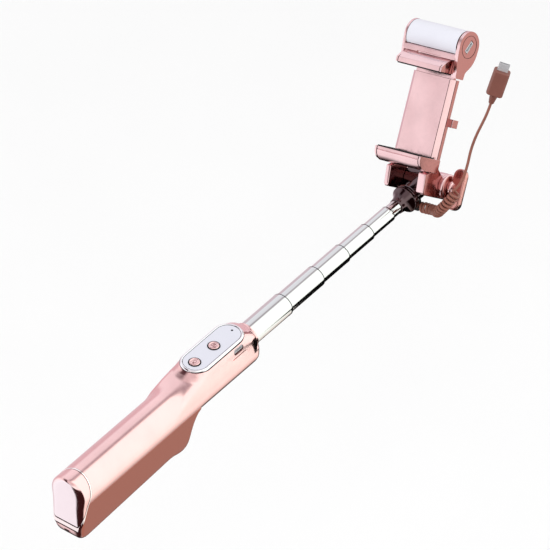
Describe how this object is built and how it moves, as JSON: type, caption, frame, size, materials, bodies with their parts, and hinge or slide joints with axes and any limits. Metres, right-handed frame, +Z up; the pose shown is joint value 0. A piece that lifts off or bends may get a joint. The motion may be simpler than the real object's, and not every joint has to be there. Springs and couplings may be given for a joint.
{
  "type": "selfie stick",
  "caption": "Telescopic hand-held selfie stick with a tilting sprung phone clamp, fill light, panel buttons and a coiled plug lead.",
  "frame": {"origin": "middle of the hand grip, on the axis of the round barrel", "axes": "+Y along the stick away from the user, +Z up through the control panel, +X to the user's right"},
  "size_m": [0.0945, 0.4123, 0.1455],
  "materials": {
    "rose_plating": "glossy rose-gold electroplating",
    "ring_plating": "bright polished trim",
    "tube_chrome": "polished chrome plating",
    "dark_chrome": "smoked chrome",
    "bright_trim": "polished",
    "panel_white": "gloss",
    "button_rose": "glossy plating",
    "black_plastic": "moulded",
    "jaw_rubber": "soft matt",
    "steel": "bright",
    "board_green": "solder mask",
    "switch_black": "moulded",
    "cell_wrap": "shrink-wrapped",
    "port_ring": "glossy plating",
    "diffuser_white": "frosted",
    "led_yellow": "silicone",
    "cord_copper": "satin",
    "plug_copper": "satin moulded",
    "tongue_dark": "moulded"
  },
  "bodies": {
    "handle": {"upper_housing": "rose_plating", "belly_housing": "rose_plating", "lanyard_pin": "steel", "housing_screw": "steel", "rear_cap": "rose_plating", "cap_ring": "ring_plating", "panel_bezel": "bright_trim", "control_panel": "panel_white", "status_led": "black_plastic", "control_board": "board_green", "tact_switches": "switch_black", "charge_port": "steel", "battery_cell": "cell_wrap", "battery_contacts": "steel", "nose_collar": "black_plastic"},
    "tube_1": {"tube_1": "tube_chrome"},
    "tube_2": {"tube_2": "tube_chrome", "tube_bush_2": "black_plastic"},
    "tube_3": {"tube_3": "tube_chrome", "tube_bush_3": "black_plastic"},
    "tube_4": {"tube_4": "tube_chrome", "tube_bush_4": "black_plastic"},
    "tube_5": {"tube_5": "tube_chrome", "tube_bush_5": "black_plastic"},
    "tube_6": {"tube_6": "tube_chrome", "tube_bush_6": "black_plastic", "flange_collar": "dark_chrome"},
    "neck": {"hinge_knuckle": "dark_chrome", "cord_gland": "black_plastic", "cord_coil": "cord_copper", "cord_lead": "cord_copper", "plug_strain_relief": "plug_copper", "plug_overmold": "plug_copper", "plug_shell": "steel", "plug_tongue": "tongue_dark"},
    "clamp": {"clamp_channel": "rose_plating", "channel_cover": "rose_plating", "cover_screws": "steel", "bottom_jaw": "rose_plating", "bottom_jaw_pad": "jaw_rubber", "jaw_springs": "steel", "cable_clip": "rose_plating", "hinge_bolt": "steel", "hinge_nut": "steel", "hinge_cap": "rose_plating", "friction_washers": "black_plastic"},
    "jaw_slider": {"slider_plate": "rose_plating", "top_jaw": "rose_plating", "top_jaw_pad": "jaw_rubber", "light_housing": "rose_plating", "port_disc": "port_ring", "light_port": "steel", "light_diffuser": "diffuser_white", "led_board": "board_green", "light_leds": "led_yellow"},
    "knob": {"t_knob": "rose_plating"},
    "shutter_key": {"shutter_button": "button_rose"},
    "light_key": {"light_button": "button_rose"}
  },
  "joints": [
    {"name": "tube_1_slide", "type": "slide", "parent": "handle", "child": "tube_1", "axis": [0, 1, 0], "range_m": [-0.0326, 0.0704]},
    {"name": "tube_2_slide", "type": "slide", "parent": "tube_1", "child": "tube_2", "axis": [0, 1, 0], "range_m": [-0.0322, 0.0676]},
    {"name": "tube_3_slide", "type": "slide", "parent": "tube_2", "child": "tube_3", "axis": [0, 1, 0], "range_m": [-0.0257, 0.0701]},
    {"name": "tube_4_slide", "type": "slide", "parent": "tube_3", "child": "tube_4", "axis": [0, 1, 0], "range_m": [-0.0246, 0.0672]},
    {"name": "tube_5_slide", "type": "slide", "parent": "tube_4", "child": "tube_5", "axis": [0, 1, 0], "range_m": [-0.0208, 0.067]},
    {"name": "tube_6_slide", "type": "slide", "parent": "tube_5", "child": "tube_6", "axis": [0, 1, 0], "range_m": [-0.0076, 0.0693]},
    {"name": "head_swivel", "type": "hinge", "parent": "tube_6", "child": "neck", "pos_m": [0, 0.28, 0.004], "axis": [0, 1, 0], "range_deg": [-170, 170]},
    {"name": "clamp_tilt", "type": "hinge", "parent": "neck", "child": "clamp", "pos_m": [0, 0.297, 0.004], "axis": [-0.9715, 0, -0.2368], "range_deg": [-22, 222]},
    {"name": "jaw_slide", "type": "slide", "parent": "clamp", "child": "jaw_slider", "axis": [-0.1838, 0.6307, 0.7539], "range_m": [0, 0.03], "stiffness_N_per_m": 150, "springref_m": -0.02},
    {"name": "knob_turn", "type": "hinge", "parent": "clamp", "child": "knob", "pos_m": [0.02429, 0.297, 0.00992], "axis": [0.9715, 0, 0.2368], "continuous": true},
    {"name": "shutter_press", "type": "slide", "parent": "handle", "child": "shutter_key", "axis": [0, 0, -1], "range_m": [0, 0.0005], "stiffness_N_per_m": 800, "springref_m": -0.0005},
    {"name": "light_press", "type": "slide", "parent": "handle", "child": "light_key", "axis": [0, 0, -1], "range_m": [0, 0.0005], "stiffness_N_per_m": 800, "springref_m": -0.0005}
  ]
}
